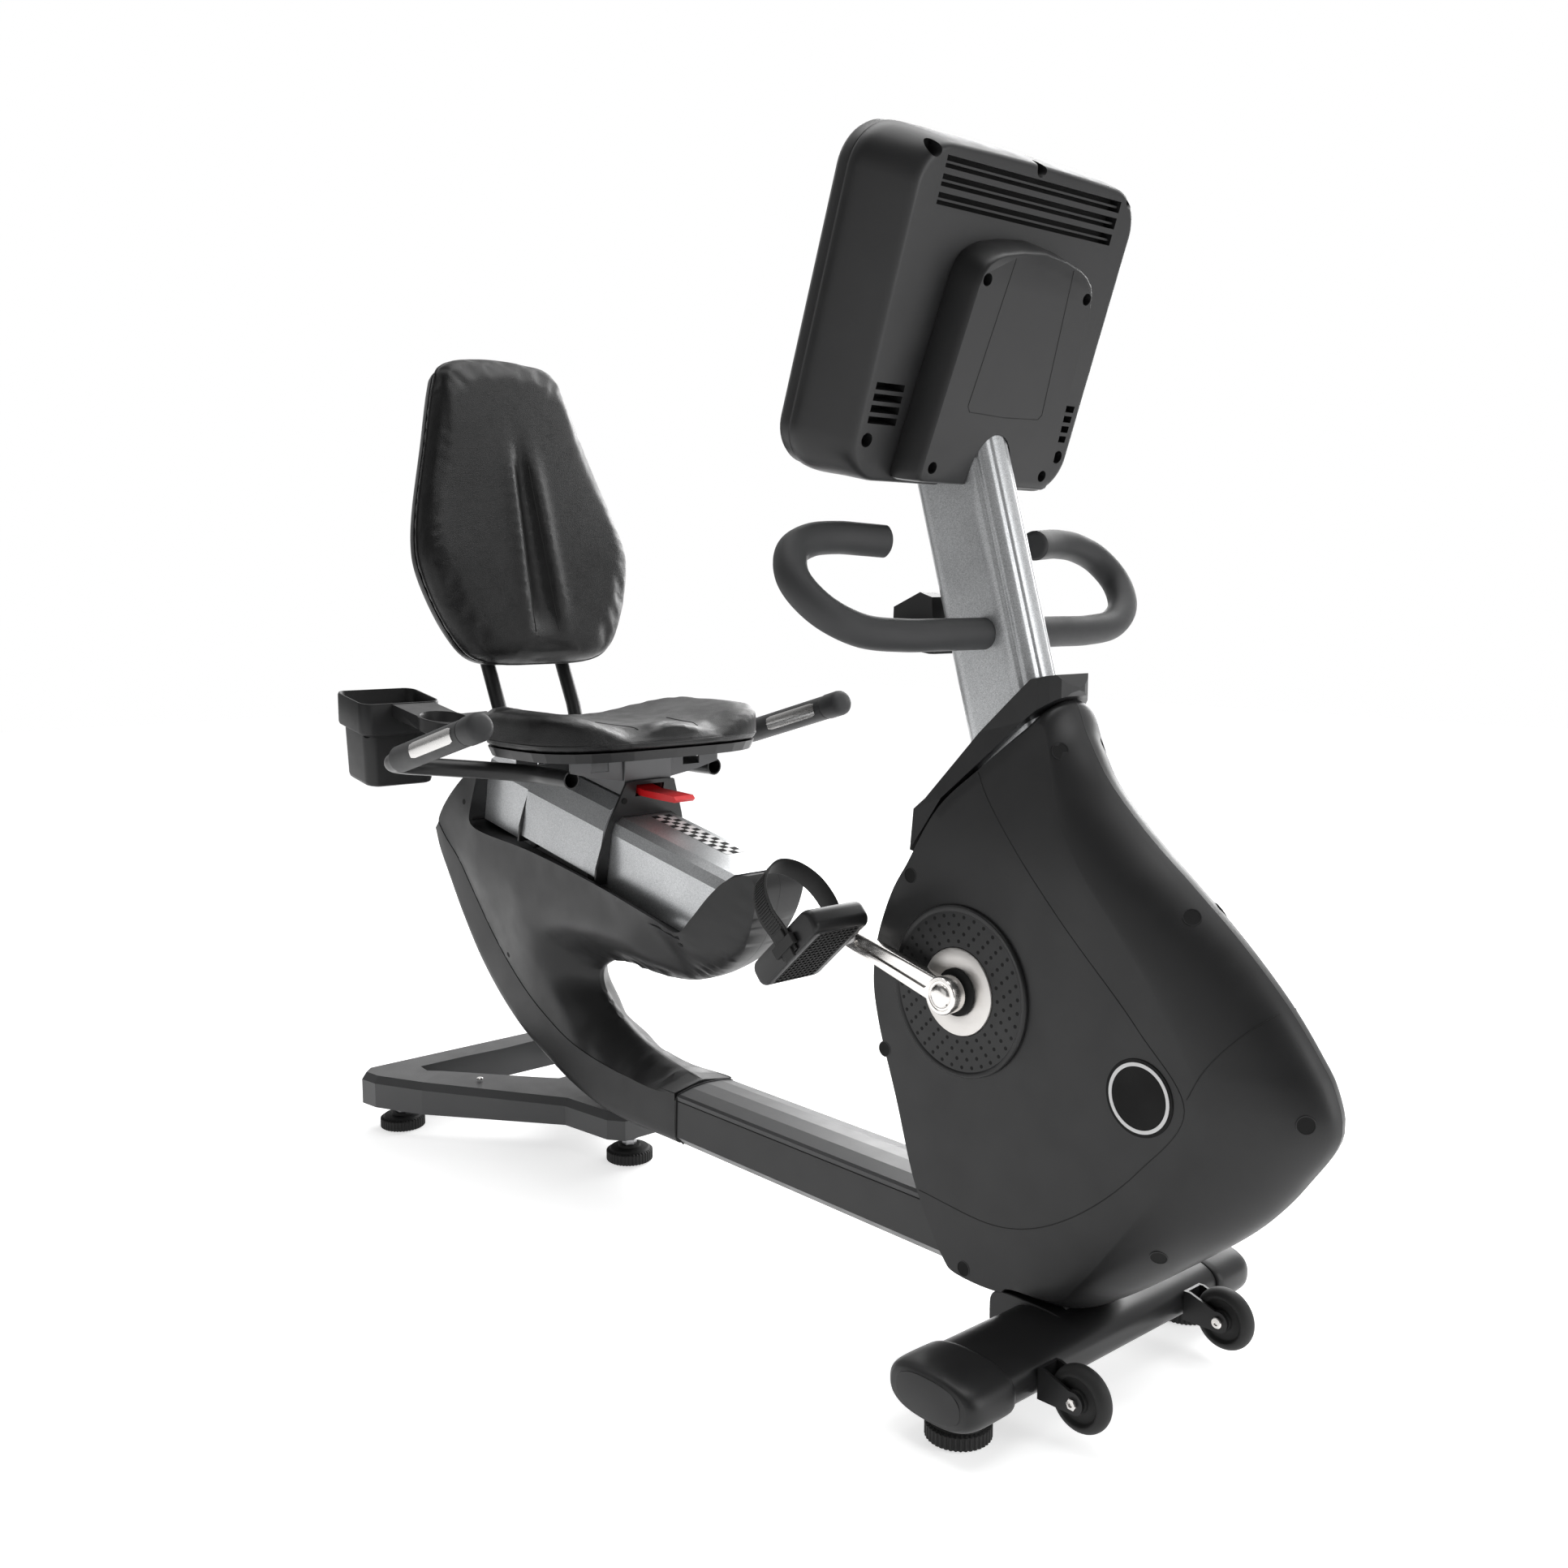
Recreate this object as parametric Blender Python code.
"""Recumbent exercise bike, in metres: +X forward, +Y the rider's left, +Z up, floor at Z = 0.

Rear pieces are laid out from REAR_X, front pieces from the crank axis, seat pieces in the
rail's own directions (along the rail, across it, up from it)."""

import math

import bmesh
import bpy
from mathutils import Vector
from mathutils.geometry import delaunay_2d_cdt

# Overall layout
REAR_X = -0.5906
CRANK_SPAN = 0.964
CRANK_X = REAR_X + CRANK_SPAN
CRANK_Z = 0.4375
MAST_TOP_Z = 1.115
GAP = 0.0003
RUN = 0.001

# Beam, column and base
BEAM_HALF = 0.0543
BEAM_BOTTOM = 0.089
BEAM_EDGE = 0.168
BEAM_CROWN = 0.175
COVER_SPLIT = 0.158
JOINT_X = REAR_X + 0.4
BASE_BOTTOM = 0.045
BASE_TOP = 0.098
BASE_TRACK = 0.255
FOOT_RADIUS = 0.037
STEM_RADIUS = 0.005

# Seat rail and everything that slides on it
RAIL_TILT = math.radians(11.0)
RAIL_X = REAR_X + 0.2718
RAIL_Z = 0.5636
RAIL_HALF = 0.062
RAIL_DEEP = 0.113
RAIL_REAR = -0.3673
RAIL_FRONT = 0.263
SLEEVE_REAR = -0.2234
SLEEVE_FRONT = -0.0103
SLEEVE_FIT = 0.003
PLATE = 0.004
TROUGH_HALF = RAIL_HALF + 0.025
SHROUD_HALF = RAIL_HALF + 0.031
PAN_Z = 0.659
PAN_THICK = 0.014
SEAT_HALF = 0.210
SEAT_MID_X = REAR_X + 0.2075
SEAT_LONG = 0.285
BACK_TILT = math.radians(14.63)
BACK_TALL = 0.515
BACK_HALF = 0.195
POST_Y = RAIL_HALF + 0.010
POST_RADIUS = 0.0125
TUBE_RADIUS = 0.0135
TUBE_Y = 0.135
GRIP_Y = 0.334
GRIP_RADIUS = 0.0195

# Drive
HOUSING_HALF = BEAM_HALF + 0.0077
WALL = 0.004
SPINDLE_RADIUS = 0.0125
SPINDLE_FIT = 0.0005
BEARING_WALL = 0.0075
CRANK_LONG = 0.170
CRANK_ANGLE = math.radians(14.4)
ARM_IN = HOUSING_HALF + 0.016
ARM_OUT = ARM_IN + 0.014
PULLEY_RADIUS = 0.095
BELT_Y = 0.0165
BELT_HALF = 0.005
BELT_THICK = 0.003
FLY_DX, FLY_Z, FLY_RADIUS = 0.215, 0.330, 0.085
DRIVEN_RADIUS = 0.018
PEDAL_Y = ARM_OUT + 0.058
PEDAL_HALF = 0.045
PEDAL_LONG = 0.137
PEDAL_THICK = 0.033
PEDAL_PITCH = math.radians(42)
PIN_RADIUS = 0.007
HUB_RADIUS = 0.103
HUB_PLATE = 0.0525
HUB_HOLE = 0.024

# Stabiliser and wheels
BAR_DX = 0.141
BAR_LONG, BAR_TALL = 0.115, 0.055
BAR_CAP_IN, BAR_CAP_OUT = 0.190, 0.262
WHEEL_RADIUS = 0.037
WHEEL_DX, WHEEL_Y, WHEEL_Z = 0.246, 0.136, 0.057
WHEEL_HALF = 0.011
AXLE_RADIUS = 0.004

# Mast and console
MAST_LONG, MAST_WIDE = 0.130, 0.070
MAST_LEAN = 0.299
MAST_DX, MAST_REF_Z = 0.0084, 0.8096
BAR_GRIP_RADIUS = 0.0185
CONSOLE_TILT = math.radians(19.33)
CONSOLE_AHEAD, CONSOLE_RISE = 0.0274, -0.0438
MAST_USUAL_TOP = 1.115
CONSOLE_DEEP = 0.074
CONSOLE_LOW = -0.052
CONSOLE_HALF = 0.220
CONSOLE_TALL = 0.385
COVER_PROUD = 0.041

BOX = [(0, 1, 2, 3), (7, 6, 5, 4), (0, 4, 5, 1), (1, 5, 6, 2), (2, 6, 7, 3), (3, 7, 4, 0)]

MATERIALS = {
    "charcoal_plastic": ((0.030, 0.030, 0.032, 1), 0.42, 0.0),
    "charcoal_paint": ((0.030, 0.030, 0.032, 1), 0.40, 0.1),
    "graphite_plastic": ((0.060, 0.061, 0.063, 1), 0.35, 0.0),
    "black_paint": ((0.022, 0.022, 0.024, 1), 0.38, 0.1),
    "silver_paint": ((0.55, 0.56, 0.57, 1), 0.32, 0.8),
    "vinyl": ((0.012, 0.012, 0.012, 1), 0.48, 0.0),
    "rubber": ((0.020, 0.020, 0.020, 1), 0.75, 0.0),
    "foam_rubber": ((0.045, 0.046, 0.048, 1), 0.70, 0.0),
    "chrome": ((0.80, 0.79, 0.78, 1), 0.14, 1.0),
    "steel": ((0.42, 0.42, 0.43, 1), 0.35, 1.0),
    "cast_iron": ((0.10, 0.10, 0.10, 1), 0.55, 0.8),
    "red_plastic": ((0.62, 0.012, 0.018, 1), 0.35, 0.0),
    "screen_glass": ((0.010, 0.011, 0.013, 1), 0.08, 0.0),
}


def material(slot):
    found = bpy.data.materials.get(slot)
    if found:
        return found
    colour, rough, metal = MATERIALS[slot]
    made = bpy.data.materials.new(slot)
    made.use_nodes = True
    shader = made.node_tree.nodes["Principled BSDF"]
    shader.inputs["Base Color"].default_value = colour
    shader.inputs["Roughness"].default_value = rough
    shader.inputs["Metallic"].default_value = metal
    made.diffuse_color = colour
    return made


def make(name, shape, slot=None, pivot=(0, 0, 0)):
    """One object from (points, faces), faces out, its origin at the pivot."""
    mesh = bpy.data.meshes.new(name)
    mesh.from_pydata([tuple(Vector(p) - Vector(pivot)) for p in shape[0]], [], shape[1])
    work = bmesh.new()
    work.from_mesh(mesh)
    bmesh.ops.remove_doubles(work, verts=work.verts, dist=1e-7)
    bmesh.ops.recalc_face_normals(work, faces=work.faces)
    bmesh.ops.triangulate(work, faces=[f for f in work.faces if len(f.verts) > 4])
    work.to_mesh(mesh)
    work.free()
    made = bpy.data.objects.new(name, mesh)
    made.location = pivot
    bpy.context.scene.collection.objects.link(made)
    if slot:
        finish(made, slot)
    return made


def finish(made, slot):
    made.data.materials.clear()
    made.data.materials.append(material(slot))
    for face in made.data.polygons:
        face.use_smooth = True
    made.data.set_sharp_from_angle(angle=math.radians(35))


def boolean(target, tools, operation, slot):
    """Each tool cut from or joined to the target, then removed."""
    bpy.context.view_layer.update()
    for tool in tools:
        change = target.modifiers.new("bool", "BOOLEAN")
        change.solver = "EXACT"
        change.operation = operation
        change.object = tool
    graph = bpy.context.evaluated_depsgraph_get()
    mesh = bpy.data.meshes.new_from_object(target.evaluated_get(graph))
    target.modifiers.clear()
    target.data = mesh
    for tool in tools:
        bpy.data.objects.remove(tool)
    finish(target, slot)
    return target


def cut(target, tools, slot):
    return boolean(target, tools, "DIFFERENCE", slot)


def join(target, tools, slot):
    return boolean(target, tools, "UNION", slot)


def loft(rings, closed=False):
    """A skin over rings of equal length, capped unless closed on itself."""
    count = len(rings[0])
    points = [p for ring in rings for p in ring]
    faces = []
    for k in range(len(rings) if closed else len(rings) - 1):
        a, b = k * count, (k + 1) % len(rings) * count
        for i in range(count):
            j = (i + 1) % count
            faces.append((a + i, a + j, b + j, b + i))
    if not closed:
        faces.append(tuple(range(count))[::-1])
        faces.append(tuple(range((len(rings) - 1) * count, len(rings) * count)))
    return points, faces


def prism_y(outline, low, high):
    return loft([[(x, y, z) for x, z in outline] for y in (low, high)])


def prism_z(outline, low, high):
    return loft([[(x, y, z) for x, y in outline] for z in (low, high)])


def both(half):
    """A half outline (across, up) from the centre out, and its mirror image."""
    return list(half) + [(-a, b) for a, b in reversed(half) if abs(a) > 1e-9]


def circle(radius, count, start=0.0):
    turn = 2 * math.pi / count
    return [(radius * math.cos(start + turn * i), radius * math.sin(start + turn * i))
            for i in range(count)]


def rounded(half_a, half_b, radius, steps=4):
    """A rounded rectangle about the origin."""
    out = []
    for k, (sa, sb) in enumerate(((1, 1), (-1, 1), (-1, -1), (1, -1))):
        for i in range(steps + 1):
            angle = math.pi / 2 * (k + i / steps)
            out.append((sa * (half_a - radius) + radius * math.cos(angle),
                        sb * (half_b - radius) + radius * math.sin(angle)))
    return out


def inset(outline, distance):
    """The outline moved inwards by the distance, for an anticlockwise outline."""
    out = []
    count = len(outline)
    for i in range(count):
        before, here, after = (Vector(outline[(i + k) % count]) for k in (-1, 0, 1))
        first = (here - before).normalized()
        second = (after - here).normalized()
        normal = Vector((-first.y - second.y, first.x + second.x)).normalized()
        reach = distance / max(0.4, normal.dot(Vector((-first.y, first.x))))
        out.append(tuple(here + normal * reach))
    return out


def smooth_path(points, steps=3):
    """Catmull-Rom through the points."""
    points = [Vector(p) for p in points]
    points = [2 * points[0] - points[1]] + points + [2 * points[-1] - points[-2]]
    out = []
    for k in range(1, len(points) - 2):
        a, b, c, d = points[k - 1:k + 3]
        for i in range(steps):
            t = i / steps
            out.append(0.5 * (2 * b + (c - a) * t + (2 * a - 5 * b + 4 * c - d) * t * t
                              + (3 * b - a - 3 * c + d) * t ** 3))
    return out + [points[-2]]


def tube(path, section):
    """The section swept along the path without twisting."""
    path = [Vector(p) for p in path]
    ahead = [(path[min(k + 1, len(path) - 1)] - path[max(k - 1, 0)]).normalized()
             for k in range(len(path))]
    side = ahead[0].cross(Vector((0, 0, 1)))
    side = side.normalized() if side.length > 0.1 else Vector((1, 0, 0))
    rings = []
    for spot, way in zip(path, ahead):
        side = (side - way * side.dot(way)).normalized()
        up = side.cross(way)
        rings.append([tuple(spot + side * a + up * b) for a, b in section])
    return loft(rings)


def lathe(profile, centre, axis, count):
    """The (radius, along) profile turned about an axis, closed on itself unless it meets the axis."""
    centre, axis = Vector(centre), Vector(axis).normalized()
    one = axis.cross(Vector((0, 0, 1)))
    one = one.normalized() if one.length > 0.1 else Vector((1, 0, 0))
    two = axis.cross(one)
    points, rows = [], []
    for radius, along in profile:
        row = []
        for u, v in circle(radius, count) if radius > 1e-9 else [(0, 0)]:
            row.append(len(points))
            points.append(tuple(centre + axis * along + one * u + two * v))
        rows.append(row)
    open_ended = len(rows[0]) == 1 and len(rows[-1]) == 1
    faces = []
    for k in range(len(rows) - 1 if open_ended else len(rows)):
        a, b = rows[k], rows[(k + 1) % len(rows)]
        for i in range(count):
            j = (i + 1) % count
            corners = [a[i % len(a)], a[j % len(a)], b[j % len(b)], b[i % len(b)]]
            corners = list(dict.fromkeys(corners))
            if len(corners) > 2:
                faces.append(tuple(corners))
    return points, faces


def mirror(shape):
    return [(x, -y, z) for x, y, z in shape[0]], [f[::-1] for f in shape[1]]


def pair(name, shape, slot):
    """The shape on the rider's left (+Y) and its mirror image on the right."""
    return make(name + "_left", shape, slot), make(name + "_right", mirror(shape), slot)


def rear(x):
    return REAR_X + x


def front(x):
    return CRANK_X + x


def on_rail(s, y, n):
    """A point s along the rail, y across, n up from its top."""
    return (RAIL_X + s * math.cos(RAIL_TILT) + n * math.sin(RAIL_TILT), y,
            RAIL_Z - s * math.sin(RAIL_TILT) + n * math.cos(RAIL_TILT))


def rail_prism(outline, low, high):
    """An outline of (across, up) drawn along the rail."""
    return loft([[on_rail(s, y, n) for y, n in outline] for s in (low, high)])


# ---------------------------------------------------------------- base, beam, column

def base_top(x):
    """The base's top dips where the column passes over it."""
    share = min(1.0, max(0.0, (x - rear(-0.03)) / 0.08))
    return BASE_TOP + share * (BEAM_BOTTOM - GAP - BASE_TOP)


def foot_spots():
    return {
        "foot_rear_right": (rear(-0.174), -0.198, BASE_BOTTOM),
        "foot_rear_left": (rear(-0.174), 0.198, BASE_BOTTOM),
        "foot_centre": (rear(0.2086), 0.0, BASE_BOTTOM),
        "foot_front_right": (front(BAR_DX), -0.2125, bar_z() - BAR_TALL / 2),
        "foot_front_left": (front(BAR_DX), 0.2125, bar_z() - BAR_TALL / 2),
    }


def stem_bore(spot):
    x, y, z = spot
    bore = [(x + a, y + b) for a, b in circle(STEM_RADIUS + RUN, 12)]
    return make("bore", prism_z(bore, z - 0.01, z + 0.020))


def rear_base():
    half = [(-0.225, 0), (-0.225, 0.235), (-0.205, 0.255), (-0.168, 0.250), (-0.084, 0.209),
            (0.116, 0.060), (0.215, 0.048), (0.240, 0.030), (0.240, 0)]
    half = [(rear(x), y * BASE_TRACK / 0.255) for x, y in half]
    outline = [(x, -y) for x, y in half] + [(x, y) for x, y in reversed(half[1:-1])]
    top = inset(outline, 0.007)
    body = make("rear_base", loft([
        [(x, y, BASE_BOTTOM) for x, y in outline],
        [(x, y, base_top(x) - 0.012) for x, y in outline],
        [(x, y, base_top(x)) for x, y in top]]))
    hole = [(rear(x), y * BASE_TRACK / 0.255) for x, y in
            ((-0.168, -0.165), (-0.140, -0.168), (0.025, -0.012), (0.025, 0.012),
             (-0.140, 0.168), (-0.168, 0.165))]
    tools = [make("hole", prism_z(hole, 0.0, 0.2))]
    tools += [stem_bore(spot) for name, spot in foot_spots().items() if spot[2] == BASE_BOTTOM]
    cut(body, tools, "graphite_plastic")


def feet():
    for name, (x, y, z) in foot_spots().items():
        nut = min(z - 0.004, 0.034)
        profile = [(0, 0), (FOOT_RADIUS - 0.002, 0), (FOOT_RADIUS, 0.002), (FOOT_RADIUS, 0.018),
                   (FOOT_RADIUS - 0.004, 0.021), (0.018, 0.022), (0.013, nut - 0.002),
                   (STEM_RADIUS, nut), (STEM_RADIUS, z + 0.016), (0, z + 0.016)]
        made = make(name, lathe(profile, (x, y, 0), (0, 0, 1), 16), "rubber")
        move_origin(made, (x, y, 0))


def move_origin(made, pivot):
    shift = Vector(pivot) - made.location
    for point in made.data.vertices:
        point.co -= shift
    made.location = pivot


def beam_outline(low, high):
    """Half section points (across, up) of the beam between two heights."""
    full = [(0, BEAM_BOTTOM), (BEAM_HALF - 0.014, BEAM_BOTTOM), (BEAM_HALF, BEAM_BOTTOM + 0.014),
            (BEAM_HALF, COVER_SPLIT)]
    return [(a, b) for a, b in full if low <= b <= high]


def main_beam():
    core = both(beam_outline(0, 1))
    shape = loft([[(x, y, z) for y, z in core] for x in (JOINT_X, front(0.150))])
    body = make("main_beam", shape)
    wall = 0.003
    bore = [(0, BEAM_BOTTOM + wall), (BEAM_HALF - 0.015, BEAM_BOTTOM + wall),
            (BEAM_HALF - wall, BEAM_BOTTOM + 0.015), (BEAM_HALF - wall, COVER_SPLIT - wall)]
    bore = loft([[(x, y, z) for y, z in both(bore)] for x in (JOINT_X - 0.1, front(0.3))])
    cut(body, [make("bore", bore)], "charcoal_paint")
    low = COVER_SPLIT + GAP
    half = [(0, low), (BEAM_HALF, low), (BEAM_HALF, BEAM_EDGE - 0.003), (BEAM_HALF - 0.004, BEAM_EDGE),
            (BEAM_HALF * 0.5, BEAM_CROWN - 0.002), (0, BEAM_CROWN)]
    shape = loft([[(x, y, z) for y, z in both(half)] for x in (JOINT_X + 0.005, front(-0.062))])
    make("beam_cover", shape, "graphite_plastic")


SPINE = (
    ((0.3993, 0.089), (0.3993, 0.1692), 0.0543),
    ((0.2205, 0.0907), (0.255, 0.1667), 0.0543),
    ((0.119, 0.114), (0.135, 0.184), 0.0550),
    ((0.040, 0.145), (0.060, 0.213), 0.0560),
    ((-0.026, 0.177), (0.002, 0.246), 0.0580),
    ((-0.085, 0.222), (-0.050, 0.290), 0.0620),
    ((-0.135, 0.275), (-0.095, 0.340), 0.0670),
    ((-0.178, 0.345), (-0.135, 0.400), 0.0750),
    ((-0.208, 0.410), (-0.168, 0.450), 0.0820),
    ((-0.226, 0.460), (-0.200, 0.485), 0.0880),
    ((-0.2345, 0.492), (-0.220, 0.507), 0.0890),
)


def flank(half):
    """A half width of the column: BEAM_HALF at its foot, growing to SHROUD_HALF by the rail."""
    if half <= 0.0543:
        return half * BEAM_HALF / 0.0543
    return BEAM_HALF + (half - 0.0543) * (SHROUD_HALF - BEAM_HALF) / (0.093 - 0.0543)


def rear_spine():
    rings = []
    for outer, inner, half in SPINE:
        half = flank(half)
        ring = [(0, 0), (0.78, 0.01), (0.94, 0.06), (1, 0.2), (1, 1)]
        a, b = Vector(outer), Vector(inner)
        b = b - (b - a).normalized() * GAP
        rings.append([(rear(a.x + (b.x - a.x) * v), u * half, a.y + (b.y - a.y) * v)
                      for u, v in both(ring)])
    make("rear_spine", loft(rings), "charcoal_plastic")


def shroud_points():
    """(x, z, half width) round the shroud's side view, then points inside it."""
    seam = [(inner[0], inner[1], half) for outer, inner, half in SPINE]
    tower = [(-0.206, 0.530, 0.090), (-0.163, 0.570, 0.090), (-0.118, 0.603, 0.086),
             (-0.093, 0.609, 0.086)]
    rim = [(-0.109, 0.523, 0.093), (-0.096, 0.513, 0.093), (0.080, 0.494, 0.093),
           (0.262, 0.466, 0.093), (0.400, 0.438, 0.093), (0.458, 0.426, 0.091),
           (0.480, 0.446, 0.088), (0.517, 0.489, 0.078), (0.540, 0.510, 0.068)]
    bow = [(0.566, 0.518, 0.052), (0.574, 0.500, 0.045), (0.562, 0.455, 0.040),
           (0.525, 0.398, 0.028), (0.465, 0.356, 0.012), (0.389, 0.330, 0.006)]
    ridge = [(0.309, 0.3225, 0.005), (0.225, 0.326, 0.005), (0.170, 0.318, 0.005),
             (0.140, 0.297, 0.004), (0.142, 0.272, 0.004), (0.178, 0.240, 0.004),
             (0.235, 0.2115, 0.004), (0.310, 0.191, 0.004), (0.398, 0.1775, 0.004)]
    inside = [(0.450, 0.392, 0.076), (0.340, 0.372, 0.084), (0.260, 0.378, 0.087),
              (0.172, 0.382, 0.088), (0.080, 0.362, 0.087), (0.030, 0.331, 0.083),
              (0.035, 0.300, 0.066), (0.069, 0.275, 0.056), (0.125, 0.236, 0.055),
              (0.1925, 0.204, 0.0545), (0.300, 0.182, 0.0543), (0.380, 0.1735, 0.052),
              (0.500, 0.440, 0.072), (0.105, 0.285, 0.022), (0.200, 0.345, 0.040),
              (0.330, 0.342, 0.036), (-0.100, 0.430, 0.089), (0.020, 0.430, 0.091)]
    border = seam + tower + rim + bow + ridge
    return [[(x, z, flank(half)) for x, z, half in points] for points in (border, inside)]


def half_shell(border, inside, side):
    """A solid between the centre plane and a skin given as (x, z, half width)."""
    every = border + inside
    count = len(border)
    edges = [(i, (i + 1) % count) for i in range(count)]
    flat = [Vector((x, z)) for x, z, y in every]
    spots, _, faces, origins, _, _ = delaunay_2d_cdt(flat, edges, [], 1, 1e-6)
    points, remap = [], {}
    for i, source in enumerate(origins):
        remap[i] = source[0]
    for x, z, y in every:
        points.append((x, side * y, z))
    for x, z, y in every:
        points.append((x, side * GAP / 2, z))
    faces = [tuple(remap[i] for i in f) for f in faces]
    rim = {}
    for f in faces:
        for k in range(3):
            a, b = f[k], f[(k + 1) % 3]
            rim[(a, b)] = True
    skins = list(faces) + [tuple(i + len(every) for i in f[::-1]) for f in faces]
    for a, b in rim:
        if (b, a) not in rim:
            skins.append((b, a, a + len(every), b + len(every)))
    return points, skins


def rear_shrouds():
    border, inside = shroud_points()
    border = [(rear(x), z, y) for x, z, y in border]
    inside = [(rear(x), z, y) for x, z, y in inside]
    floor = -RAIL_DEEP - GAP
    for name, side in (("rear_shroud_left", 1), ("rear_shroud_right", -1)):
        body = make(name, half_shell(border, inside, side))
        lean = (RAIL_FRONT - 0.224) / RAIL_DEEP
        wide = [(RAIL_REAR - GAP, floor), (0.205, floor), (0.205, 0.2), (RAIL_REAR - GAP, 0.2)]
        close = [(0.190, floor), (RAIL_FRONT + GAP + floor * lean, floor),
                 (RAIL_FRONT + GAP + 0.2 * lean, 0.2), (0.190, 0.2)]
        tools = []
        for outline, half in ((wide, TROUGH_HALF), (close, RAIL_HALF + GAP)):
            rings = [[on_rail(s, side * y, n) for s, n in outline] for y in (-0.002, half)]
            tools.append(make("trough", loft(rings)))
        cut(body, tools, "charcoal_plastic")


# ---------------------------------------------------------------- rail and carriage

def rail_section(grow=0.0):
    return [(0, grow), (RAIL_HALF - 0.017, grow), (RAIL_HALF - 0.004 + grow, -0.008 + grow / 2),
            (RAIL_HALF + grow, -0.025)]


def seat_rail():
    outline = both(rail_section() + [(RAIL_HALF, -RAIL_DEEP), (0, -RAIL_DEEP)])
    lean = (RAIL_FRONT - 0.224) / RAIL_DEEP
    rings = [[on_rail(RAIL_REAR, y, n) for y, n in outline],
             [on_rail(RAIL_FRONT + n * lean, y, n) for y, n in outline]]
    body = make("seat_rail", loft(rings))
    wall = 0.004
    bore = [(0, -wall), (RAIL_HALF - 0.019, -wall), (RAIL_HALF - wall, -0.027),
            (RAIL_HALF - wall, wall - RAIL_DEEP), (0, wall - RAIL_DEEP)]
    cut(body, [make("bore", rail_prism(both(bore), RAIL_REAR - 0.1, RAIL_FRONT + 0.1))],
        "silver_paint")


def straddle(outer, fit, low):
    """A U outline over the rail: the outer half points, with the rail's section grown by the fit."""
    inner = [(a, b) for a, b in rail_section(fit)] + [(RAIL_HALF + fit, low)]
    half = outer + inner[:0:-1]
    return half + [(-a, b) for a, b in reversed(half)]


def carriage():
    low = -0.095
    outer = [(0.030, 0.030), (0.045, 0.028)]
    outer += [(RAIL_HALF + a, n) for a, n in ((0.004, 0.012), (0.014, -0.020), (0.018, low))]
    shape = rail_prism(straddle(outer, SLEEVE_FIT, low), SLEEVE_REAR, SLEEVE_FRONT)
    make("seat_carriage", shape, "silver_paint")
    low = -0.105
    outer = [(0.028, 0.056), (0.045, 0.054)]
    outer += [(RAIL_HALF + a, n) for a, n in
              ((0.006, -0.005), (0.018, -0.056), (0.0225, -0.080), (0.0225, low))]
    for name, s in (("carriage_plate_rear", SLEEVE_REAR - GAP - PLATE),
                    ("carriage_plate_front", SLEEVE_FRONT + GAP)):
        body = make(name, rail_prism(straddle(outer, 0.0015, low), s, s + PLATE))
        tool = make("window", rail_prism(window_outline(), s - 0.01, s + 0.01))
        cut(body, [tool], "black_paint")


def window_outline():
    return [(-0.026, 0.0315), (0.026, 0.0315), (0.026, 0.0500), (-0.026, 0.0500)]


def seat_bracket():
    """A wedge from the sloping sleeve up to the level pan, with wings to the handle tubes."""
    top = PAN_Z - GAP
    wing = TUBE_Y + 0.004
    lift = 0.0305
    a, b = on_rail(SLEEVE_REAR + 0.012, 0, lift), on_rail(SLEEVE_FRONT - GAP, 0, lift)
    side = [(a[0], a[2]), (b[0], b[2]), (b[0] + (top - b[2]) * math.tan(RAIL_TILT) * 0.4, top),
            (a[0], top)]
    body = make("seat_bracket", prism_y(side, -0.044, 0.044))
    wings = [(b[0] - 0.150, top), (b[0] - 0.150, top - 0.018), (b[0] - 0.060, top - 0.034),
             (b[0], top - 0.034), (b[0], top)]
    path, start, way = handle_path()
    path = smooth_path(path, 2) + [path[-1] + way * 0.150]
    arm = tube(path, circle(TUBE_RADIUS, 10))
    join(body, [make("wings", prism_y(wings, -wing, wing)), make("arm", arm),
                make("arm", mirror(arm))], "black_paint")
    slot = [(-0.050, 0.020), (0.03, 0.020), (0.03, 0.0505), (-0.050, 0.0505)]
    rings = [[on_rail(s, y, n) for s, n in slot] for y in (-0.026, 0.026)]
    cut(body, [make("channel", loft(rings))], "black_paint")


def adjust_lever():
    side = [(-0.036, 0.0335), (-0.014, 0.0325), (0.000, 0.0330), (0.050, 0.0410), (0.078, 0.0460),
            (0.082, 0.0510), (0.076, 0.0550), (0.042, 0.0500), (0.000, 0.0430), (-0.036, 0.0430)]
    rings = [[on_rail(s, y, n) for s, n in side] for y in (-0.018, 0.018)]
    pivot = on_rail(-0.030, 0, 0.038)
    make("adjust_lever", loft(rings), "red_plastic", pivot)


def handle_path():
    points = [(0.2633, TUBE_Y, 0.6285), (0.210, TUBE_Y, 0.6285), (0.160, TUBE_Y + 0.003, 0.629),
              (0.110, 0.180, 0.633), (0.082, 0.250, 0.641), (0.076, 0.300, 0.647),
              (0.087, GRIP_Y - 0.006, 0.6535), (0.112, GRIP_Y, 0.6605)]
    points = [Vector((rear(x), y, z)) for x, y, z in points]
    way = grip_way()
    return points, points[-1] + way * 0.004, way


def grip_way():
    return Vector((0.242, 0, 0.0665)).normalized()


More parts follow.
